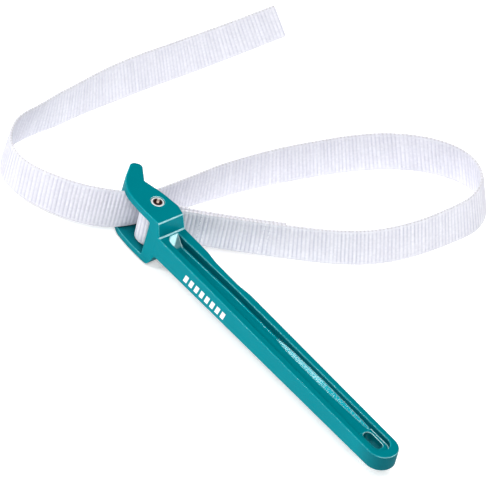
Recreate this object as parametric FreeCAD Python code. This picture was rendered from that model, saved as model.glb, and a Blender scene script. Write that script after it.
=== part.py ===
import FreeCAD, Part
import math
import os

# Strap wrench for oil filters.
# Millimetres. +Z runs up along the pivot screw, +X along the handle towards its hanging slot, and the
# jaw's horn and the strap's loop are on the +Y side. The origin is on the screw's axis, on the outer
# face of the lower ear, where the head rests.

Vec = FreeCAD.Vector

# head: a clevis of two ears, joined by a web at the handle and a nose block at the far end
EAR_OUTER = 17.2        # half the head's height
MID = EAR_OUTER         # height of the middle plane
SLOT_HALF = 13.0        # half the height of the strap slot
WEB_FACE_X = 8.8        # slot's end at the handle
NOSE_FACE_X = -20.0     # slot's end at the nose block
SHOULDER_TOP_X = 15.2   # where the upper shoulder starts to slope down
SHOULDER_LOW_X = 14.4   # the same on the lower ear, which is rounder there
SHOULDER_FOOT_X = 18.0  # where it meets the handle
FOOT_COVE = 0.55        # sloped band along that line

# handle: an I section with a channel in its upper and its lower side
HANDLE_START_X = 10.5   # inside the web
HANDLE_END_X = 225.5
NECK_RIGHT_Y = -11.6    # straight side
END_RIGHT_Y = -10.8
NECK_LEFT_Y = 8.8       # waisted side
WAIST_LEFT_Y = 7.6
END_LEFT_Y = 9.4
WAIST_FROM_X = 49.0
WAIST_TO_X = 71.0
NECK_HALF = 7.3         # half thickness at the neck
END_UPPER = 5.75        # height of the end above the middle plane, and depth below it
END_LOWER = 4.9
END_ROUND = 9.9
RIM_ROUND = 0.7
CHANNEL_START_X = 19.2
CHANNEL_END_X = 219.0   # end of the upper channel
CHANNEL_PAD_X = 193.0   # end of the lower channel, short of a solid pad round the hanging slot
CHANNEL_RIGHT_Y = -6.7
CHANNEL_START_Y = 2.2   # its edge on the waisted side: at its start, at the neck and at the end
CHANNEL_NECK_Y = 3.8
CHANNEL_END_Y = 5.7
UPPER_FLOOR = 0.8       # floors of the two channels, from the middle plane
LOWER_FLOOR = -1.9
FLOOR_ROUND = 1.8       # along the edges of the floors
BANK_FROM_X = 110.0     # sloped bank along the upper channel's waisted side
BANK_FULL_X = 126.0
BANK_MID_X = 155.0
BANK_END_X = 197.0
BANK_HEIGHT = 2.3
SLOT_PAD_X = 198.0      # raised pad round the hanging slot in the upper channel
SLOT_PAD_RISE = 1.1
HANG_X = 206.8
HANG_Y = 0.4
HANG_LENGTH = 15.0
HANG_WIDTH = 6.6
HANG_DRAFT = 1.0        # how much narrower the slot's lower end is, on each side

# pivot screw and the roller on it
SCREW_R = 3.0
SCREW_HEAD_R = 4.1
SCREW_HEAD_HEIGHT = 2.6
SCREW_SINK = 0.3        # how far its head lies below the ear's face
SOCKET_ACROSS = 4.4
SOCKET_DEPTH = 2.1
ROLLER_R = 4.3
ROLLER_HALF = SLOT_HALF - 0.2
RUNNING_GAP = 0.05

# strap: 1 inch webbing that stands on its edge
STRAP_THICK = 1.8
STRAP_HALF = 12.7
TAIL_DROP = 4.5         # how far the tail's far side hangs below the head's slot
DROP_FROM_X = -24.0     # the tail is level up to here, then falls evenly to its far side
TAIL_SIDE_X = -105.0
EYE_R = ROLLER_R + 0.3 + STRAP_THICK / 2

# middle line of the strap, from the folded end round the roller, out along the loop and back through
# the slot to the free end
ROUTE = [
    (46.6, 63.2),
    (34.5, 47.7),
    (22.5, 32.2),
    (8.0, 14.8),
    (-6.6, 4.2),
    (-6.9, -6.8),
    (5.6, -6.8),
    (EYE_R, 9.0),
    (24.0, 31.0),
    (48.0, 62.0),
    (66.0, 86.5),
    (78.5, 112.0),
    (83.5, 138.0),
    (84.8, 160.0),
    (84.8, 184.0),
    (73.0, 201.5),
    (53.0, 205.0),
    (34.0, 193.0),
    (18.5, 171.5),
    (9.0, 148.0),
    (1.5, 119.5),
    (-5.5, 88.0),
    (-9.5, 55.0),
    (-10.8, 22.0),
    (-12.5, 1.5),
    (-20.0, -14.5),
    (-33.0, -28.5),
    (-50.0, -38.5),
    (-68.0, -44.5),
    (-83.0, -46.0),
    (-94.0, -29.5),
    (-103.5, -10.0),
    (-105.5, 15.0),
    (-107.5, 47.0),
    (-107.5, 80.0),
    (-105.7, 113.0),
    (-103.2, 147.0),
    (-100.2, 180.0),
]
# the run, counted from the start of the route, in whose middle each strap solid ends
FOLD_ENDS_AT = 2
EYE_ENDS_AT = 7
LOOP_ENDS_AT = 23
STITCH_ROWS = (6.0, 9.5, 44.0, 47.5)  # distances from the start of the loop's solid
STITCH_LENGTH = 2.2
STITCH_WIDTH = 0.7
STITCH_PROUD = 0.25
STITCH_COUNT = 8


def save(shape, name):
    shape.exportStep(os.path.join("parts", name + ".step"))
    print(name, "valid", shape.isValid(), "solids", len(shape.Solids), "volume", round(shape.Volume, 1))


def unit(a, b):
    length = math.hypot(b[0] - a[0], b[1] - a[1])
    return ((b[0] - a[0]) / length, (b[1] - a[1]) / length), length


def corner_arc(before, corner, after, radius):
    """The arc of this radius that rounds a corner: start, middle, end, centre, side."""
    (ux, uy), _ = unit(before, corner)
    (vx, vy), _ = unit(corner, after)
    turn = math.atan2(ux * vy - uy * vx, ux * vx + uy * vy)
    reach = radius * math.tan(abs(turn) / 2)
    side = math.copysign(1.0, turn)
    start = (corner[0] - ux * reach, corner[1] - uy * reach)
    end = (corner[0] + vx * reach, corner[1] + vy * reach)
    centre = (start[0] - uy * radius * side, start[1] + ux * radius * side)
    return start, end, centre, side


def line_edge(a, b):
    return Part.LineSegment(Vec(a[0], a[1], 0), Vec(b[0], b[1], 0)).toShape()


def arc_edge(a, b, centre):
    """The short arc from a to b about the centre."""
    radius = math.hypot(a[0] - centre[0], a[1] - centre[1])
    mid = ((a[0] + b[0]) / 2 - centre[0], (a[1] + b[1]) / 2 - centre[1])
    length = math.hypot(mid[0], mid[1])
    middle = (centre[0] + mid[0] / length * radius, centre[1] + mid[1] / length * radius)
    return Part.Arc(Vec(a[0], a[1], 0), Vec(middle[0], middle[1], 0), Vec(b[0], b[1], 0)).toShape()


def rounded_outline(corners):
    """A closed flat wire through corners given as (x, y, radius), with radius 0 for a sharp one."""
    edges = []
    count = len(corners)
    starts = []
    for i in range(count):
        here = corners[i]
        if here[2] == 0:
            starts.append((here[:2], here[:2], None))
            continue
        start, end, centre, _ = corner_arc(corners[i - 1], here, corners[(i + 1) % count], here[2])
        starts.append((start, end, centre))
    for i in range(count):
        start, end, centre = starts[i]
        if centre is not None:
            edges.append(arc_edge(start, end, centre))
        edges.append(line_edge(end, starts[(i + 1) % count][0]))
    return Part.Wire(edges)


def prism(corners, low, high):
    """The outline, extruded from one height to another."""
    face = Part.Face(rounded_outline(corners))
    face.translate(Vec(0, 0, low))
    return face.extrude(Vec(0, 0, high - low))


def side_prism(corners, low, high):
    """The same, for an outline given in X and Z and extruded along Y."""
    face = Part.Face(rounded_outline(corners))
    face.rotate(Vec(0, 0, 0), Vec(1, 0, 0), 90)
    face.translate(Vec(0, low, 0))
    return face.extrude(Vec(0, high - low, 0))


def cylinder(radius, low, high, x=0.0, y=0.0):
    return Part.makeCylinder(radius, high - low, Vec(x, y, low))


def head_block():
    """The head without its slot, rounded along the ears' outer faces."""
    plan = [
        (19.0, 8.9, 1.5),
        (7.8, 9.2, 30.0),
        (-5.0, 7.6, 60.0),
        (-17.8, 4.3, 2.0),
        (-29.2, 12.2, 3.3),
        (-34.4, 7.4, 3.3),
        (-24.6, -5.6, 14.0),
        (-15.6, -11.1, 22.0),
        (-2.0, -12.2, 80.0),
        (8.5, -12.2, 30.0),
        (19.0, -11.5, 3.0),
    ]
    top = 2 * EAR_OUTER
    side = [
        (-40.0, 0.0, 0.0),
        (-40.0, top, 0.0),
        (SHOULDER_TOP_X - 0.4, top, 0.6),
        (SHOULDER_TOP_X + 0.25, top - 0.65, 0.6),
        (SHOULDER_FOOT_X, MID + NECK_HALF + FOOT_COVE, 0.5),
        (SHOULDER_FOOT_X + FOOT_COVE + 0.2, MID + NECK_HALF - 0.2, 0.0),
        (SHOULDER_FOOT_X, MID - NECK_HALF + 0.2, 0.0),
        (SHOULDER_LOW_X, 0.0, 5.0),
    ]
    block = prism(plan, 0.0, top)
    block = block.makeFillet(0.8, [e for e in block.Edges if is_ear_edge(e)])
    return block.common(side_prism(side, -30.0, 30.0))


def cheek(up):
    """Space beside the shoulder on the +Y side, where the ear leans inwards; up is 1 or -1."""
    block = Part.makeBox(40.0, 40.0, 10.0, Vec(-20.0, -20.0, 0.0))
    block.Placement = FreeCAD.Placement(
        Vec(8.5, 8.75, MID + EAR_OUTER * up),
        FreeCAD.Rotation(Vec(0, 0, 1), Vec(0.233, 0.948, 0.217 * up)),
    )
    return block


def handle_bar():
    plan = [
        (HANDLE_START_X, NECK_RIGHT_Y, 0.0),
        (HANDLE_START_X, NECK_LEFT_Y, 0.0),
        (WAIST_FROM_X - 8.0, NECK_LEFT_Y, 40.0),
        (WAIST_FROM_X, WAIST_LEFT_Y, 40.0),
        (WAIST_TO_X, WAIST_LEFT_Y, 30.0),
        (WAIST_TO_X + 9.0, NECK_LEFT_Y + 0.1, 30.0),
        (HANDLE_END_X, END_LEFT_Y, END_ROUND),
        (HANDLE_END_X, END_RIGHT_Y, END_ROUND),
    ]
    side = [
        (HANDLE_START_X, MID - NECK_HALF, 0.0),
        (HANDLE_START_X, MID + NECK_HALF, 0.0),
        (HANDLE_END_X + 5.0, MID + END_UPPER, 0.0),
        (HANDLE_END_X + 5.0, MID - END_LOWER, 0.0),
    ]
    bar = prism(plan, 0.0, 2 * MID).common(side_prism(side, -30.0, 30.0))
    bar = bar.cut(upper_channel())
    bar = bar.cut(channel(0.0, MID + LOWER_FLOOR, CHANNEL_PAD_X))
    bar = bar.makeFillet(RIM_ROUND, [e for e in bar.Edges if is_rim(e)])
    return bar.cut(hang_slot())


def channel(low, high, end_x):
    plan = [
        (CHANNEL_START_X, CHANNEL_RIGHT_Y, 5.5),
        (CHANNEL_START_X, CHANNEL_START_Y, 1.5),
        (WAIST_TO_X, CHANNEL_NECK_Y, 300.0),
        (end_x, CHANNEL_END_Y, 6.0),
        (end_x, CHANNEL_RIGHT_Y, 6.0),
    ]
    solid = prism(plan, low, high)
    return solid.makeFillet(FLOOR_ROUND, [e for e in solid.Edges if is_channel_floor(e)])


def upper_channel():
    """The upper channel, with a ramp at its start and a sloped bank along its waisted side."""
    floor = MID + UPPER_FLOOR
    depth = NECK_HALF - UPPER_FLOOR
    side = [
        (CHANNEL_START_X, 2 * MID + 1.0, 0.0),
        (CHANNEL_START_X, floor + depth, 0.0),
        (CHANNEL_START_X + depth, floor - 0.03, 7.0),
        (SLOT_PAD_X, floor - 0.03, 0.0),
        (SLOT_PAD_X + 1.0, floor + SLOT_PAD_RISE, 0.0),
        (CHANNEL_END_X + 5.0, floor + SLOT_PAD_RISE, 0.0),
        (CHANNEL_END_X + 5.0, 2 * MID + 1.0, 0.0),
    ]
    solid = channel(floor, 2 * MID, CHANNEL_END_X).common(side_prism(side, -30.0, 30.0))
    corners = (
        (BANK_FROM_X, 0.9),
        (BANK_FULL_X, 0.8 * BANK_HEIGHT),
        (BANK_MID_X, BANK_HEIGHT),
        (BANK_END_X, 1.2),
    )
    bank = Part.makeLoft([bank_section(x, height) for x, height in corners], True, True)
    return solid.cut(bank)


def bank_section(x, height):
    """Triangle in the channel's lower corner, 1 mm larger than the corner on its two square sides."""
    share = (x - WAIST_TO_X) / (CHANNEL_END_X - WAIST_TO_X)
    wall = CHANNEL_NECK_Y + share * (CHANNEL_END_Y - CHANNEL_NECK_Y)
    floor = MID + UPPER_FLOOR
    corners = [
        Vec(x, wall + 1.0, floor + height + 1.0),
        Vec(x, wall + 1.0, floor - 1.0),
        Vec(x, wall - height - 1.0, floor - 1.0),
    ]
    return Part.makePolygon(corners + corners[:1])


def hang_slot():
    """Oval slot with draft: it narrows towards the lower side."""
    lower = slot_outline(HANG_DRAFT, MID - END_LOWER - 1.0)
    upper = slot_outline(0.0, MID + UPPER_FLOOR + SLOT_PAD_RISE + 1.0)
    return Part.makeLoft([lower, upper], True, True)


def slot_outline(inset, height):
    half = HANG_LENGTH / 2 - inset
    across = HANG_WIDTH / 2 - inset
    round_end = across * 0.98
    plan = [
        (HANG_X - half, HANG_Y - across, round_end),
        (HANG_X - half, HANG_Y + across, round_end),
        (HANG_X + half, HANG_Y + across, round_end),
        (HANG_X + half, HANG_Y - across, round_end),
    ]
    outline = rounded_outline(plan)
    outline.translate(Vec(0, 0, height))
    return outline


def clevis():
    """The head with its strap slot, which is rounded in its corners."""
    head = head_block().cut(cheek(1)).cut(cheek(-1))
    slot_size = (WEB_FACE_X - NOSE_FACE_X, 60.0, 2 * SLOT_HALF)
    slot = Part.makeBox(*slot_size, Vec(NOSE_FACE_X, -30.0, MID - SLOT_HALF))
    slot = slot.makeFillet(1.2, [e for e in slot.Edges if is_slot_corner(e)])
    return head.cut(slot)


def casting():
    """Handle, ears, web and nose block: one die casting."""
    body = clevis().fuse(handle_bar())
    top = 2 * EAR_OUTER
    head_seat = top - SCREW_HEAD_HEIGHT - SCREW_SINK
    for hole in (
        cylinder(SCREW_HEAD_R + 0.15, head_seat, top),
        cylinder(SCREW_R + RUNNING_GAP, MID, head_seat),
        cylinder(SCREW_R + 0.02, 0.0, MID),
    ):
        body = body.cut(hole)
    return body


def on_plane(edge, height):
    return abs(edge.BoundBox.ZMin - height) < 1e-4 and abs(edge.BoundBox.ZMax - height) < 1e-4


def is_slot_corner(edge):
    box = edge.BoundBox
    return box.XLength < 0.01 and box.ZLength < 0.01


def is_channel_floor(edge):
    return on_plane(edge, MID + UPPER_FLOOR) or on_plane(edge, MID + LOWER_FLOOR)


def is_ear_edge(edge):
    return on_plane(edge, 0.0) or on_plane(edge, 2 * EAR_OUTER)


def is_rim(edge):
    """Outer edges of the handle and of its channels, on the upper and the lower side."""
    return edge.BoundBox.XMax > HANDLE_START_X + 0.1 and all(on_rim(v.Point) for v in edge.Vertexes)


def on_rim(point):
    share = (point.x - HANDLE_START_X) / (HANDLE_END_X + 5.0 - HANDLE_START_X)
    upper = MID + NECK_HALF + share * (END_UPPER - NECK_HALF)
    lower = MID - NECK_HALF + share * (NECK_HALF - END_LOWER)
    return min(abs(point.z - upper), abs(point.z - lower)) < 0.01


def pivot_screw():
    """Hex socket screw: head in the upper ear, tip threaded into the lower ear."""
    top = 2 * EAR_OUTER - SCREW_SINK
    under_head = top - SCREW_HEAD_HEIGHT
    head = cylinder(SCREW_HEAD_R, under_head, top)
    head = head.makeFillet(0.5, [e for e in head.Edges if on_plane(e, top)])
    shank = cylinder(SCREW_R, 0.0, under_head)
    shank = shank.makeChamfer(0.5, [e for e in shank.Edges if on_plane(e, 0.0)])
    corner = SOCKET_ACROSS / math.sqrt(3)
    hexagon = [(corner * math.cos(math.radians(60 * i)), corner * math.sin(math.radians(60 * i)), 0.0)
               for i in range(6)]
    socket = prism(hexagon, top - SOCKET_DEPTH, top + 1.0)
    return head.fuse(shank).removeSplitter().cut(socket)


def roller():
    tube = cylinder(ROLLER_R, MID - ROLLER_HALF, MID + ROLLER_HALF)
    tube = tube.makeChamfer(0.4, tube.Edges[:1] + tube.Edges[2:3])
    return tube.cut(cylinder(SCREW_R + RUNNING_GAP, MID - SLOT_HALF, MID + SLOT_HALF))


def strap_path():
    """The route as a list of straight runs and arcs, each (start, end, centre, side)."""
    pieces = []
    last = ROUTE[0]
    radii = []
    for i in range(1, len(ROUTE) - 1):
        before, corner, after = ROUTE[i - 1:i + 2]
        (ux, uy), run_in = unit(before, corner)
        (vx, vy), run_out = unit(corner, after)
        turn = math.atan2(ux * vy - uy * vx, ux * vx + uy * vy)
        radius = 0.45 * min(run_in, run_out) / math.tan(abs(turn) / 2)
        radii.append(round(radius, 1))
        start, end, centre, side = corner_arc(before, corner, after, radius)
        pieces.append((last, start, None, 0))
        pieces.append((start, end, centre, side))
        last = end
    pieces.append((last, ROUTE[-1], None, 0))
    return pieces, radii


def piece_length(piece):
    start, end, centre, _ = piece
    chord = math.hypot(end[0] - start[0], end[1] - start[1])
    if centre is None:
        return chord
    radius = math.hypot(start[0] - centre[0], start[1] - centre[1])
    return 2 * radius * math.asin(chord / 2 / radius)


def split_path(pieces):
    """Cuts the path in the middle of three straight runs, into the fold, the eye, the loop and the tail."""
    parts = [[]]
    for i, (start, end, centre, side) in enumerate(pieces):
        if i % 2 == 0 and i // 2 in (FOLD_ENDS_AT, EYE_ENDS_AT, LOOP_ENDS_AT):
            middle = ((start[0] + end[0]) / 2, (start[1] + end[1]) / 2)
            parts[-1].append((start, middle, None, 0))
            parts.append([(middle, end, None, 0)])
        else:
            parts[-1].append((start, end, centre, side))
    return parts


def beside(point, piece, offset):
    """The point moved across the path by the offset, positive to the left of its direction."""
    start, end, centre, side = piece
    if centre is None:
        (ux, uy), _ = unit(start, end)
        return (point[0] - uy * offset, point[1] + ux * offset)
    (rx, ry), _ = unit(centre, point)
    return (point[0] - rx * offset * side, point[1] - ry * offset * side)


def ribbon_face(pieces):
    """The flat outline of the strap's thickness along the path."""
    edges = []
    for offset in (STRAP_THICK / 2, -STRAP_THICK / 2):
        for piece in pieces:
            start = beside(piece[0], piece, offset)
            end = beside(piece[1], piece, offset)
            if piece[2] is None:
                edges.append(line_edge(start, end))
            else:
                edges.append(arc_edge(start, end, piece[2]))
    for at in (0, -1):
        end_point = pieces[at][0] if at == 0 else pieces[at][1]
        left = beside(end_point, pieces[at], STRAP_THICK / 2)
        right = beside(end_point, pieces[at], -STRAP_THICK / 2)
        edges.append(line_edge(left, right))
    return Part.Face(Part.Wire(Part.__sortEdges__(edges)))


def level_height():
    """All the space between the strap's edges where it is level."""
    return Part.makeBox(300.0, 300.0, 2 * STRAP_HALF, Vec(-150.0, -80.0, MID - STRAP_HALF))


def tail_height():
    """The same on the tail's side, where it falls towards -X."""
    low = MID - STRAP_HALF
    high = MID + STRAP_HALF
    far = TAIL_SIDE_X - 10.0
    outline = [
        (60.0, low, 0.0),
        (DROP_FROM_X, low, 0.0),
        (TAIL_SIDE_X, low - TAIL_DROP, 0.0),
        (far, low - TAIL_DROP, 0.0),
        (far, high - TAIL_DROP, 0.0),
        (TAIL_SIDE_X, high - TAIL_DROP, 0.0),
        (DROP_FROM_X, high, 0.0),
        (60.0, high, 0.0),
    ]
    return side_prism(outline, -100.0, 250.0)


def strap_solid(pieces, height):
    face = ribbon_face(pieces)
    face.translate(Vec(0, 0, -10.0))
    solid = face.extrude(Vec(0, 0, 60.0)).common(height)
    return solid.removeSplitter().Solids[0]


def point_along(pieces, distance):
    """Place and direction at a distance along straight and curved pieces."""
    for piece in pieces:
        length = piece_length(piece)
        if distance <= length:
            break
        distance -= length
    start, end, centre, side = piece
    if centre is None:
        (ux, uy), _ = unit(start, end)
        return (start[0] + ux * distance, start[1] + uy * distance), math.atan2(uy, ux)
    radius = math.hypot(start[0] - centre[0], start[1] - centre[1])
    angle = math.atan2(start[1] - centre[1], start[0] - centre[0]) + side * distance / radius
    place = (centre[0] + radius * math.cos(angle), centre[1] + radius * math.sin(angle))
    return place, angle + side * math.pi / 2


def stitch(place, heading, height, offset):
    """One stitch that lies on the strap's face, on the left for a positive offset."""
    box = Part.makeBox(STITCH_WIDTH, STITCH_PROUD, STITCH_LENGTH)
    lift = offset if offset > 0 else offset - STITCH_PROUD
    box.translate(Vec(-STITCH_WIDTH / 2, lift, -STITCH_LENGTH / 2))
    box.rotate(Vec(0, 0, 0), Vec(0, 0, 1), math.degrees(heading))
    box.translate(Vec(place[0], place[1], height))
    return box


def stitching(fold, loop):
    """Rows of thread across the doubled stretch, on both of its faces."""
    solids = []
    fold_length = sum(piece_length(p) for p in fold)
    pitch = 2 * STRAP_HALF / STITCH_COUNT
    gap = 0.02
    for row in STITCH_ROWS:
        outer, outer_heading = point_along(loop, row)
        inner, inner_heading = point_along(fold, fold_length - row + 0.6)
        for i in range(STITCH_COUNT):
            height = MID + (i - (STITCH_COUNT - 1) / 2) * pitch
            solids.append(stitch(outer, outer_heading, height, -STRAP_THICK / 2 - gap))
            solids.append(stitch(inner, inner_heading, height, -STRAP_THICK / 2 - gap))
    return Part.makeCompound(solids)


def main():
    os.makedirs("parts", exist_ok=True)
    pieces, radii = strap_path()
    print("strap length", round(sum(piece_length(p) for p in pieces), 1), "radii", radii)
    fold, eye, loop, tail = split_path(pieces)
    save(casting(), "handle_casting")
    save(pivot_screw(), "pivot_screw")
    save(roller(), "pin_roller")
    save(strap_solid(fold, level_height()), "strap_fold")
    save(strap_solid(eye, level_height()), "strap_eye")
    save(strap_solid(loop, level_height()), "strap_loop")
    save(strap_solid(tail, tail_height()), "strap_tail")
    save(stitching(fold, loop), "eye_stitching")


main()
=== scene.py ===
import math
import random

import bpy
from mathutils import Matrix, Vector


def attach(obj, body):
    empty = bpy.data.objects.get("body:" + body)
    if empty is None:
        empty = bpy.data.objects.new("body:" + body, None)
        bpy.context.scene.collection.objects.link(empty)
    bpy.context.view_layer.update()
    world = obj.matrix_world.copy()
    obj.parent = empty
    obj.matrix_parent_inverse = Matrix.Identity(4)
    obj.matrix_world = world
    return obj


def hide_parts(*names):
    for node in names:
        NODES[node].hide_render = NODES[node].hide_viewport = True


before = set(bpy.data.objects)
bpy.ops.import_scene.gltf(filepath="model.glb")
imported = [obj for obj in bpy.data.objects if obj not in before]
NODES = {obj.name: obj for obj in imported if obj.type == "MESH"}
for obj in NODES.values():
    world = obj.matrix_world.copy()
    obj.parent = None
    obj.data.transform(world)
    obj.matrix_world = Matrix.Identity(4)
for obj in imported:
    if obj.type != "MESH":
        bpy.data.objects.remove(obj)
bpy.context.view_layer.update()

FULL_TURN = 2 * math.pi
MID = 0.0172            # height of the head's middle plane

# strap, in metres
STRAP_HALF = 0.0127     # half its width
STRAP_THICK = 0.0018
RIB_PITCH = 0.0025
RIB_HEIGHT = 0.00028
RIB_SUNK = 0.6          # share of a rib's height that lies inside the strap's thickness
RIB_FULLNESS = 0.7      # under 1, a rib is rounder and its groove narrower
RIB_SIZES = (0.85, 1.06)
RIB_OFFSET = 40         # keeps the count of ribs above zero
STEPS_PER_RIB = 8
SELVEDGE_FROM = 0.95    # share of the half width
SELVEDGE_WAVE = 0.00012
WARP_PITCH_MM = 0.85
MM = 1000.0

# middle line of the strap, from its folded end round the roller, out along the loop and back through
# the slot to the free end: x, y and the height above the middle plane
ROUTE = [
    (0.0466, 0.0632, -0.0008),
    (0.0345, 0.0477, -0.0008),
    (0.0225, 0.0322, -0.0006),
    (0.0080, 0.0148, 0.0),
    (-0.0066, 0.0042, 0.0),
    (-0.0069, -0.0068, 0.0),
    (0.0056, -0.0068, 0.0),
    (0.0055, 0.0090, 0.0),
    (0.0240, 0.0310, -0.0006),
    (0.0480, 0.0620, -0.0010),
    (0.0666, 0.0865, -0.0010),
    (0.0794, 0.1118, -0.0010),
    (0.0844, 0.1380, -0.0006),
    (0.0856, 0.1600, 0.0),
    (0.0848, 0.1840, 0.0),
    (0.0730, 0.2015, 0.0),
    (0.0530, 0.2050, 0.0),
    (0.0340, 0.1930, 0.0),
    (0.0185, 0.1715, 0.0),
    (0.0090, 0.1480, 0.0),
    (0.0015, 0.1195, 0.0),
    (-0.0055, 0.0880, 0.0),
    (-0.0095, 0.0550, 0.0),
    (-0.0108, 0.0220, 0.0),
    (-0.0125, 0.0015, 0.0),
    (-0.0200, -0.0145, 0.0),
    (-0.0330, -0.0285, -0.0005),
    (-0.0500, -0.0385, -0.0015),
    (-0.0680, -0.0452, -0.0025),
    (-0.0840, -0.0435, -0.0033),
    (-0.0950, -0.0345, -0.0040),
    (-0.1032, -0.0220, -0.0045),
    (-0.1046, -0.0040, -0.0045),
    (-0.1055, 0.0150, -0.0045),
    (-0.1075, 0.0470, -0.0045),
    (-0.1075, 0.0800, -0.0045),
    (-0.1057, 0.1130, -0.0045),
    (-0.1032, 0.1470, -0.0030),
    (-0.0995, 0.1815, 0.0010),
]
ROUTE_STEPS = 60        # points read from the line for each of the route's

# which way the strap's upper edge leans, at distances along it
LEAN = [
    (0.000, (0.0, 0.0, 1.0)),
    (0.135, (-0.03, -0.03, 1.0)),
    (0.204, (-0.146, -0.103, 0.984)),
    (0.264, (-0.21, -0.10, 0.97)),
    (0.330, (-0.31, -0.11, 0.944)),
    (0.394, (-0.31, -0.11, 0.944)),
    (0.454, (-0.24, -0.10, 0.965)),
    (0.509, (-0.14, -0.04, 0.989)),
    (0.540, (-0.04, 0.0, 1.0)),
    (0.566, (0.0, 0.0, 1.0)),
    (0.600, (-0.19, 0.18, 0.965)),
    (0.649, (-0.079, 0.041, 0.996)),
    (0.674, (0.0, 0.06, 1.0)),
    (0.706, (0.02, 0.06, 1.0)),
    (0.735, (-0.13, -0.02, 0.99)),
    (0.785, (-0.30, -0.113, 0.947)),
    (0.894, (-0.30, -0.36, 0.89)),
]

# half outline of the strap's section: height as a share of the half width, half thickness as a share
# of the most, and how much of a rib shows there; a shallow line runs just inside each selvedge
SECTION = [
    (0.0, 1.0, 1.0),
    (0.35, 1.0, 1.0),
    (0.7, 1.0, 1.0),
    (0.82, 1.0, 0.8),
    (0.86, 1.0, 0.8),
    (0.885, 0.93, 0.25),
    (0.90, 0.86, 0.12),
    (0.93, 0.95, 0.3),
    (0.965, 0.9, 0.3),
    (0.99, 0.6, 0.2),
    (1.0, 0.0, 0.2),
]

# stretches of the strap where its painted shade and greyer tone come in and go out, as ribs counted
# from its folded end
FAR_RUN = ((120.0, 150.0), (232.0, 216.0))
BY_HEAD = ((215.0, 228.0), (258.0, 240.0))
AT_BEND = ((262.0, 270.0), (290.0, 280.0))
TAIL = (255.0, 280.0)

# where the handle's painted highlight and painted shade come in, in metres along X or Y
PAST_HEAD_X = (0.018, 0.026)
PLUS_Y_RAIL = (-0.002, 0.002)
BRIGHT_END_X = (0.235, 0.19)
END_SHADE_X = (0.205, 0.224)

# screw head, from its axis
SOCKET_RIM = (0.0033, 0.0027)
GLINT_AT = (-0.0014, 0.0017, 0.0)
GLINT_RIM = (0.0010, 0.0005)

# row of slanted bars on the handle's -Y side
BARS = 8
BAR_START_X = 0.0445
BAR_PITCH = 0.0049
BAR_WIDTH = 0.0030
BAR_SLANT = 0.0012
BAR_LOW = -0.0036       # from the middle plane
BAR_HIGH = 0.0017
BAR_PROUD = 0.00006
BAR_DEPTH = 0.0004
SIDE_X = 0.01           # the handle's side passes through this point, with this slope
SIDE_Y = -0.01157
SIDE_SLOPE = 0.0037

# camera with a very long lens
CAMERA_RIGHT = (0.6222, 0.7551, 0.2066)
CAMERA_UP = (-0.6219, 0.3165, 0.7163)
CAMERA_TARGET = (0.0385, 0.0432, MID - 0.0004)
CAMERA_DISTANCE = 13.0
CAMERA_SENSOR = 36.0
VIEW_WIDTH = 0.29158    # metres across the picture at the target
CAMERA_CLIP = (0.05, 50.0)

FLOOR_HALF = 6.0
FLOOR_Z = -0.0012

LIGHT_CENTRE = (0.04, 0.04, MID)
LIGHT_DISTANCE = 3.0
WORLD_COLOR = (0.9, 0.95, 1.0, 1.0)
WORLD_STRENGTH = 0.01

# name, direction from the tool, width and height in metres, watts
LIGHTS = [
    ("overhead", (0.1, 0.1, 1.0), (2.4, 2.4), 34.0),
    ("front", (-0.47, -0.67, 0.58), (0.5, 0.45), 38.0),
    ("behind", (0.66, 0.58, 0.465), (0.5, 0.33), 28.0),
    ("left", (-1.0, 0.1, 0.55), (1.4, 1.4), 42.0),
    ("fill", (0.476, -0.574, 0.9), (1.4, 1.4), 54.0),
]


# materials ---------------------------------------------------------------------------------------

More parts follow.
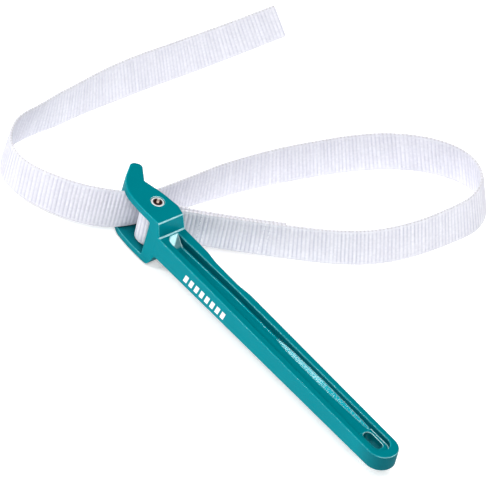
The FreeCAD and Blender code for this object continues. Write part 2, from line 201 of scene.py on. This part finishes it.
class Graph:
    """One material and its nodes, with short calls that add a node and give what comes out of it."""

    def __init__(self, name, color, roughness, metallic=0.0, specular=0.5):
        self.mat = bpy.data.materials.new(name)
        self.mat.use_nodes = True
        self.mat.diffuse_color = (*color, 1.0)
        self.nodes = self.mat.node_tree.nodes
        self.links = self.mat.node_tree.links
        self.shader = self.nodes["Principled BSDF"]
        self.give("Base Color", (*color, 1.0))
        self.give("Roughness", roughness)
        self.give("Metallic", metallic)
        self.give("Specular IOR Level", specular)

    def plug(self, socket, value):
        if isinstance(value, bpy.types.NodeSocket):
            self.links.new(value, socket)
        else:
            socket.default_value = value

    def give(self, name, value):
        """Set or link one of the shader's own sockets."""
        self.plug(self.shader.inputs[name], value)

    def add(self, kind, inputs, **settings):
        node = self.nodes.new("ShaderNode" + kind)
        for name, value in settings.items():
            setattr(node, name, value)
        for name, value in inputs.items():
            self.plug(node.inputs[name], value)
        return node.outputs

    def position(self, scale=(1.0, 1.0, 1.0)):
        where = self.add("TexCoord", {})["Object"]
        return self.scaled_vector(where, scale)

    def scaled_vector(self, vector, scale):
        return self.add("Mapping", {"Vector": vector, "Scale": scale})["Vector"]

    def split(self, vector):
        return self.add("SeparateXYZ", {"Vector": vector})

    def noise(self, where, scale, detail=3.0, rough=0.5):
        inputs = {"Vector": where, "Scale": scale, "Detail": detail, "Roughness": rough}
        return self.add("TexNoise", inputs)["Fac"]

    def ramp(self, value, ends, colors):
        node = self.nodes.new("ShaderNodeValToRGB")
        for element, at, color in zip(node.color_ramp.elements, ends, colors):
            element.position = at
            element.color = (*color, 1.0)
        self.links.new(value, node.inputs["Fac"])
        return node.outputs["Color"]

    def remap(self, value, source=(0.0, 1.0), target=(0.0, 1.0)):
        """Straight from one range to another, and held at its ends."""
        inputs = {"Value": value}
        inputs["From Min"], inputs["From Max"] = source
        inputs["To Min"], inputs["To Max"] = target
        return self.add("MapRange", inputs)["Result"]

    def stretch(self, value, rise, fall):
        """1 along a stretch, 0 before and after it."""
        return self.times(self.remap(value, rise), self.remap(value, fall))

    def tint(self, color, other, factor):
        inputs = {"Factor": factor, "A": color, "B": (*other, 1.0)}
        return self.add("Mix", inputs, data_type="RGBA")["Result"]

    def math(self, operation, *values):
        return self.add("Math", dict(enumerate(values)), operation=operation)[0]

    def times(self, first, second):
        return self.math("MULTIPLY", first, second)

    def scaled(self, value, factor, base):
        return self.math("MULTIPLY_ADD", value, factor, base)

    def most(self, first, second):
        return self.math("MAXIMUM", first, second)

    def wave(self, turns_value, half):
        """Cosine wave from 0 to 1: a trough at each full turn if `half` is negative, else a crest."""
        return self.scaled(self.math("COSINE", turns_value), half, 0.5)

    def bump(self, height, strength, distance, normal=None):
        inputs = {"Height": height, "Strength": strength, "Distance": distance}
        if normal is not None:
            inputs["Normal"] = normal
        return self.add("Bump", inputs)["Normal"]


def paint():
    """Teal enamel: painted shade in the hollows and on the upright faces near the end, and edges
    lightened partly by wear and partly as painted highlight.
    """
    g = Graph("teal_paint", (0.0, 0.24, 0.28), roughness=0.4, metallic=0.38, specular=0.0)
    where = g.position()
    place = g.split(where)
    facing = g.add("NewGeometry", {})["Normal"]
    facet = g.split(facing)
    rounded = g.add("Bevel", {"Radius": 0.0009}, samples=6)["Normal"]
    toward = g.split(rounded)

    body = g.ramp(g.noise(where, 30.0), (0.3, 0.75), ((0.0, 0.225, 0.268), (0.0, 0.24, 0.283)))
    # painted shade: the paint is darkened in the hollows that ambient occlusion finds
    hollow_shade = g.add("AmbientOcclusion", {"Distance": 0.02}, samples=8)["AO"]
    body = g.tint(body, (0.0, 0.02, 0.03), g.remap(hollow_shade, (0.58, 0.18)))
    # painted shade: the upright faces near the handle's end are painted darker
    upright = g.remap(facet["Z"], (0.6, 0.3))
    painted_shade_zone = g.times(upright, g.remap(place["X"], END_SHADE_X))
    body = g.tint(body, (0.0, 0.07, 0.09), g.times(painted_shade_zone, 0.75))

    # an edge is where the rounded normal leaves the plain one; there the paint is lightened, partly as
    # wear and partly as painted highlight
    turn = g.add("VectorMath", {0: rounded, 1: facing}, operation="DOT_PRODUCT")["Value"]
    edge_wear_and_highlight = g.remap(turn, (0.99, 0.92))
    body = g.tint(body, (0.01, 0.37, 0.42), edge_wear_and_highlight)

    # painted highlight, strongest on edges that face the handle's end or -Y; those that face -Y get
    # less of it by the head and on the -Y rail
    ahead = g.times(g.remap(toward["X"], (0.2, 0.5)), g.remap(place["X"], BRIGHT_END_X))
    side_highlight = g.scaled(g.remap(place["Y"], PLUS_Y_RAIL), 0.7, 0.3)
    side_highlight = g.times(side_highlight, g.scaled(g.remap(place["X"], PAST_HEAD_X), 0.5, 0.5))
    side = g.times(g.remap(toward["Y"], (-0.2, -0.8)), side_highlight)
    raised = g.remap(toward["Z"], (0.2, 0.4))
    painted_highlight = g.times(edge_wear_and_highlight, g.times(g.most(ahead, side), raised))
    # painted highlight too on flat faces that slope up towards the handle's end
    sloped = g.times(g.remap(facet["X"], (0.4, 0.6)), g.remap(facet["Z"], (0.35, 0.5)))
    painted_highlight = g.most(painted_highlight, g.times(sloped, 0.3))
    g.give("Base Color", g.tint(body, (0.70, 1.0, 1.0), painted_highlight))
    g.give("Roughness", g.remap(g.noise(where, 240.0), target=(0.38, 0.46)))

    # orange peel, and fine lines drawn along the handle
    peel = g.noise(where, 380.0, detail=3.0, rough=0.6)
    uneven = g.bump(peel, strength=0.10, distance=0.0006, normal=rounded)
    drawn = g.noise(g.position((0.06, 1.0, 1.0)), 1100.0, detail=2.0)
    uneven = g.bump(drawn, strength=0.10, distance=0.0004, normal=uneven)
    g.give("Normal", uneven)
    g.give("Coat Normal", uneven)
    g.give("Specular Tint", (0.0, 0.6, 0.65, 1.0))
    g.give("Coat Weight", 0.12)
    g.give("Coat Roughness", 0.06)
    return g.mat


def steel(name, color, roughness):
    g = Graph(name, color, roughness, metallic=1.0)
    grain = g.noise(g.position((1.0, 1.0, 12.0)), 1500.0, detail=4.0)
    g.give("Roughness", g.remap(grain, target=(roughness - 0.08, roughness + 0.1)))
    g.give("Normal", g.bump(grain, strength=0.15, distance=0.0001))
    return g


def screw_steel():
    """Bright head; inside its rim the socket is painted dark brown as painted shade, with one painted
    glint.
    """
    g = steel("screw_steel", (0.8, 0.8, 0.8), 0.42)
    level = g.position((1.0, 1.0, 0.0))
    radius = g.add("VectorMath", {0: level}, operation="LENGTH")["Value"]
    off_glint = g.add("VectorMath", {0: level, 1: GLINT_AT}, operation="DISTANCE")["Value"]
    grain = g.noise(g.position(), 900.0)
    color = g.ramp(grain, (0.3, 0.7), ((0.80, 0.80, 0.81), (0.92, 0.92, 0.93)))
    # painted shade: dark brown inside the socket's rim
    color = g.tint(color, (0.035, 0.012, 0.01), g.remap(radius, SOCKET_RIM))
    # painted highlight: one glint inside the socket
    color = g.tint(color, (0.95, 0.80, 0.72), g.remap(off_glint, GLINT_RIM))
    g.give("Base Color", color)
    g.give("Metallic", 0.35)
    return g


def webbing():
    """Woven tape: the weave layer counts ribs along it and gives the millimetres across it."""
    g = Graph("white_webbing", (0.80, 0.80, 0.86), roughness=0.85, specular=0.2)
    weave = g.add("UVMap", {}, uv_map="weave")["UV"]
    parts = g.split(weave)
    along, across = parts["X"], parts["Y"]
    from_middle = g.math("ABSOLUTE", across)

    # painted shade in the groove between two ribs, crossed by the warp's short floats and deeper in
    # patches
    groove = g.math("POWER", g.wave(g.times(along, FULL_TURN), -0.5), 2.8)
    floats = g.wave(g.times(across, FULL_TURN / WARP_PITCH_MM), 0.5)
    groove_shade = g.times(groove, g.scaled(floats, -0.45, 1.0))
    patchy = g.noise(g.scaled_vector(weave, (0.35, 0.05, 1.0)), 1.0, detail=2.0)
    groove_shade = g.times(groove_shade, g.remap(patchy, (0.35, 0.65), (0.45, 1.0)))

    # on the far run of the loop and on the tail the painted groove shade is weaker and the cloth a
    # little greyer
    far_and_tail = g.most(g.stretch(along, *FAR_RUN), g.remap(along, TAIL))
    groove_shade = g.times(groove_shade, g.scaled(far_and_tail, -0.28, 1.0))

    # the painted groove shade is fainter on the selvedges
    groove_shade = g.times(groove_shade, g.remap(from_middle, (10.6, 11.2), (1.0, 0.35)))

    # each rib has its own shade
    rib = g.add("TexWhiteNoise", {"W": g.math("ROUND", along)}, noise_dimensions="1D")["Value"]
    cloth = g.ramp(rib, (0.0, 1.0), ((0.745, 0.745, 0.805), (0.80, 0.80, 0.855)))
    # the painted groove shade darkens the cloth
    cloth = g.tint(cloth, (0.46, 0.46, 0.57), groove_shade)

    # each tuft of yarn too, at random; the cloth is also greyer on the far run and the tail, and
    # painted greyer by the head and at the bend as painted shade
    cell = g.add("CombineXYZ", {
        "X": g.math("ROUND", g.times(along, 2.0)),
        "Y": g.math("ROUND", g.times(across, 0.9)),
    })["Vector"]
    tuft = g.add("TexWhiteNoise", {"Vector": cell})["Value"]
    grey = g.scaled(far_and_tail, 0.08, g.times(tuft, 0.22))
    # painted shade by the head and at the left bend
    painted_shade_zone = g.most(g.stretch(along, *BY_HEAD), g.stretch(along, *AT_BEND))
    grey = g.scaled(painted_shade_zone, 0.25, grey)
    cloth = g.tint(cloth, (0.45, 0.45, 0.53), grey)
    # painted shade: a darker line along each edge of the strap, darkest in the grooves
    rim = g.times(g.remap(from_middle, (11.9, 12.4)), g.scaled(groove, 0.5, 0.25))
    g.give("Base Color", g.tint(cloth, (0.48, 0.46, 0.47), rim))

    # yarn fibres that run across, and the floats over the grooves
    fibre = g.noise(g.scaled_vector(weave, (9.0, 0.6, 1.0)), 2.0, detail=4.0, rough=0.65)
    height = g.scaled(floats, g.times(groove, 0.8), fibre)
    g.give("Normal", g.bump(height, strength=0.5, distance=0.00015))
    g.give("Sheen Weight", 0.15)
    g.give("Sheen Roughness", 0.5)
    return g.mat


def thread():
    g = Graph("white_thread", (0.82, 0.82, 0.87), roughness=0.7, specular=0.3)
    twist = g.noise(g.position(), 4000.0, detail=2.0)
    g.give("Normal", g.bump(twist, strength=0.4, distance=0.0001))
    return g.mat


def mark_paint():
    g = Graph("white_print", (0.85, 0.87, 0.88), roughness=0.45, specular=0.4)
    grain = g.noise(g.position(), 900.0)
    g.give("Base Color", g.ramp(grain, (0.3, 0.7), ((0.80, 0.83, 0.84), (0.90, 0.91, 0.92))))
    return g.mat


def floor_material():
    """Pale sweep lit from below as well, as a light table is."""
    g = Graph("pale_floor", (0.93, 0.93, 0.93), roughness=0.9, specular=0.0)
    g.give("Emission Color", (1.0, 1.0, 1.0, 1.0))
    g.give("Emission Strength", 0.30)
    return g.mat


# objects -----------------------------------------------------------------------------------------

def set_material(obj, mat):
    obj.data.materials.clear()
    obj.data.materials.append(mat)


def link_object(name, data):
    obj = bpy.data.objects.new(name, data)
    bpy.context.scene.collection.objects.link(obj)
    return obj


def mesh_object(name, verts, faces):
    mesh = bpy.data.meshes.new(name)
    mesh.from_pydata(verts, [], faces)
    return link_object(name, mesh)


# strap -------------------------------------------------------------------------------------------

def spline_points():
    """Points of the smooth line that has the route's points as its control points."""
    curve = bpy.data.curves.new("strap_line", "CURVE")
    curve.dimensions = "3D"
    spline = curve.splines.new("NURBS")
    spline.points.add(len(ROUTE) - 1)
    for point, (x, y, z) in zip(spline.points, ROUTE):
        point.co = (x, y, MID + z, 1.0)
    spline.order_u = 3
    spline.use_endpoint_u = True
    curve.resolution_u = ROUTE_STEPS
    obj = link_object("strap_line", curve)
    mesh = bpy.data.meshes.new_from_object(obj)
    points = [v.co.copy() for v in mesh.vertices]
    bpy.data.objects.remove(obj)
    bpy.data.meshes.remove(mesh)
    return points


class Line:
    """Place and direction by distance along points that are close together."""

    REACH = 0.0008      # to each side, for a direction

    def __init__(self, points):
        self.points = points
        self.at = [0.0]
        for a, b in zip(points, points[1:]):
            self.at.append(self.at[-1] + (b - a).length)
        self.length = self.at[-1]
        self.last = 0

    def place(self, s):
        s = min(max(s, 0.0), self.length)
        if s < self.at[self.last]:
            self.last = 0
        while self.last < len(self.at) - 2 and self.at[self.last + 1] < s:
            self.last += 1
        i = self.last
        share = (s - self.at[i]) / max(self.at[i + 1] - self.at[i], 1e-12)
        return self.points[i].lerp(self.points[i + 1], share)

    def heading(self, s):
        ahead = self.place(s + self.REACH)
        return (ahead - self.place(s - self.REACH)).normalized()


def smooth(t):
    return t * t * (3 - 2 * t)


def lean(s):
    for (s0, a), (s1, b) in zip(LEAN, LEAN[1:]):
        if s <= s1:
            share = smooth(max(0.0, (s - s0) / (s1 - s0)))
            return Vector(a).lerp(Vector(b), share).normalized()
    return Vector(LEAN[-1][1]).normalized()


def rib_phase(s):
    """Ribs counted along the strap; their pitch wanders a little."""
    drift = 0.35 * math.sin(s * 31.0) + 0.2 * math.sin(s * 83.0 + 1.0)
    return s / RIB_PITCH + drift


def section_ring():
    """The whole outline of the section, once round."""
    ring = list(SECTION)
    ring += [(h, -t, r) for h, t, r in SECTION[-2::-1]]
    ring += [(-h, -t, r) for h, t, r in SECTION[1:]]
    ring += [(-h, t, r) for h, t, r in SECTION[-2:0:-1]]
    return ring


def build_strap(line):
    ring = section_ring()
    count = len(ring)
    random.seed(7)
    steps = int(line.length / RIB_PITCH * STEPS_PER_RIB)
    sizes = [random.uniform(*RIB_SIZES) for _ in range(steps)]
    body_half = STRAP_THICK / 2 - RIB_HEIGHT * RIB_SUNK
    verts, faces, uvs = [], [], []
    for i in range(steps + 1):
        s = line.length * i / steps
        centre, up = line.place(s), lean(s)
        out = line.heading(s).cross(up).normalized()
        phase = rib_phase(s)
        rib = 0.5 + 0.5 * math.cos(FULL_TURN * phase)
        rib = rib ** RIB_FULLNESS * sizes[int(phase + RIB_OFFSET) % len(sizes)]
        wave = 0.5 + 0.5 * math.cos(2 * FULL_TURN * phase)
        for h, t, r in ring:
            half = body_half * t
            half += math.copysign(RIB_HEIGHT * r * rib, t) if t else 0.0
            rim = SELVEDGE_WAVE * wave if abs(h) > SELVEDGE_FROM else 0.0
            verts.append(centre + up * (h * (STRAP_HALF + rim)) + out * half)
            uvs.append((phase, h * STRAP_HALF * MM))
    for i in range(steps):
        for k in range(count):
            a = i * count + k
            b = i * count + (k + 1) % count
            faces.append((a, b, b + count, a + count))
    faces.append(tuple(range(count - 1, -1, -1)))
    faces.append(tuple(steps * count + k for k in range(count)))
    obj = mesh_object("strap_webbing", verts, faces)
    layer = obj.data.uv_layers.new(name="weave")
    for loop in obj.data.loops:
        layer.data[loop.index].uv = uvs[loop.vertex_index]
    obj.data.shade_smooth()
    return obj


# print on the handle -------------------------------------------------------------------------------

def build_mark():
    """A row of plain slanted bars, printed on the handle's -Y side."""
    verts, faces = [], []
    corners = (
        (0.0, MID + BAR_LOW),
        (BAR_WIDTH, MID + BAR_LOW),
        (BAR_WIDTH + BAR_SLANT, MID + BAR_HIGH),
        (BAR_SLANT, MID + BAR_HIGH),
    )
    for i in range(BARS):
        x = BAR_START_X + i * BAR_PITCH
        y = SIDE_Y + (x - SIDE_X) * SIDE_SLOPE
        base = len(verts)
        for depth in (-BAR_PROUD, BAR_DEPTH):
            for dx, z in corners:
                verts.append((x + dx, y + depth, z))
        faces.append((base, base + 1, base + 2, base + 3))
        faces.append((base + 7, base + 6, base + 5, base + 4))
        for k in range(4):
            n = (k + 1) % 4
            faces.append((base + k, base + 4 + k, base + 4 + n, base + n))
    return mesh_object("side_mark", verts, faces)


# camera, floor, light ------------------------------------------------------------------------------

def add_camera():
    right = Vector(CAMERA_RIGHT).normalized()
    back = right.cross(Vector(CAMERA_UP)).normalized()
    up = back.cross(right)
    cam = bpy.data.cameras.new("camera")
    cam.sensor_width = CAMERA_SENSOR
    cam.lens = CAMERA_SENSOR * CAMERA_DISTANCE / VIEW_WIDTH
    cam.clip_start, cam.clip_end = CAMERA_CLIP
    obj = link_object("camera", cam)
    matrix = Matrix((right, up, back)).transposed().to_4x4()
    matrix.translation = Vector(CAMERA_TARGET) + back * CAMERA_DISTANCE
    obj.matrix_world = matrix
    bpy.context.scene.camera = obj


def add_floor():
    r = FLOOR_HALF
    obj = mesh_object("floor", [(-r, -r, 0), (r, -r, 0), (r, r, 0), (-r, r, 0)], [(0, 1, 2, 3)])
    obj.location.z = FLOOR_Z
    set_material(obj, floor_material())


def add_light():
    world = bpy.data.worlds.new("world")
    world.use_nodes = True
    background = world.node_tree.nodes["Background"]
    background.inputs["Color"].default_value = WORLD_COLOR
    background.inputs["Strength"].default_value = WORLD_STRENGTH
    bpy.context.scene.world = world
    for name, direction, size, power in LIGHTS:
        light = bpy.data.lights.new(name, "AREA")
        light.shape = "RECTANGLE"
        light.size, light.size_y = size
        light.energy = power
        toward = Vector(direction).normalized()
        obj = link_object(name, light)
        obj.location = Vector(LIGHT_CENTRE) + toward * LIGHT_DISTANCE
        obj.rotation_mode = "QUATERNION"
        obj.rotation_quaternion = toward.to_track_quat("Z", "Y")


def main():
    set_material(NODES["handle_casting"], paint())
    set_material(NODES["pivot_screw"], screw_steel().mat)
    set_material(NODES["pin_roller"], steel("roller_steel", (0.50, 0.50, 0.52), 0.35).mat)

    points = spline_points()
    line = Line(points)
    strap = build_strap(line)
    set_material(strap, webbing())
    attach(strap, "strap")
    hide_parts("strap_fold", "strap_eye", "strap_loop", "strap_tail")
    set_material(NODES["eye_stitching"], thread())

    mark = build_mark()
    set_material(mark, mark_paint())
    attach(mark, "handle")

    add_camera()
    add_floor()
    add_light()
    bpy.context.scene.view_settings.view_transform = "Standard"


main()
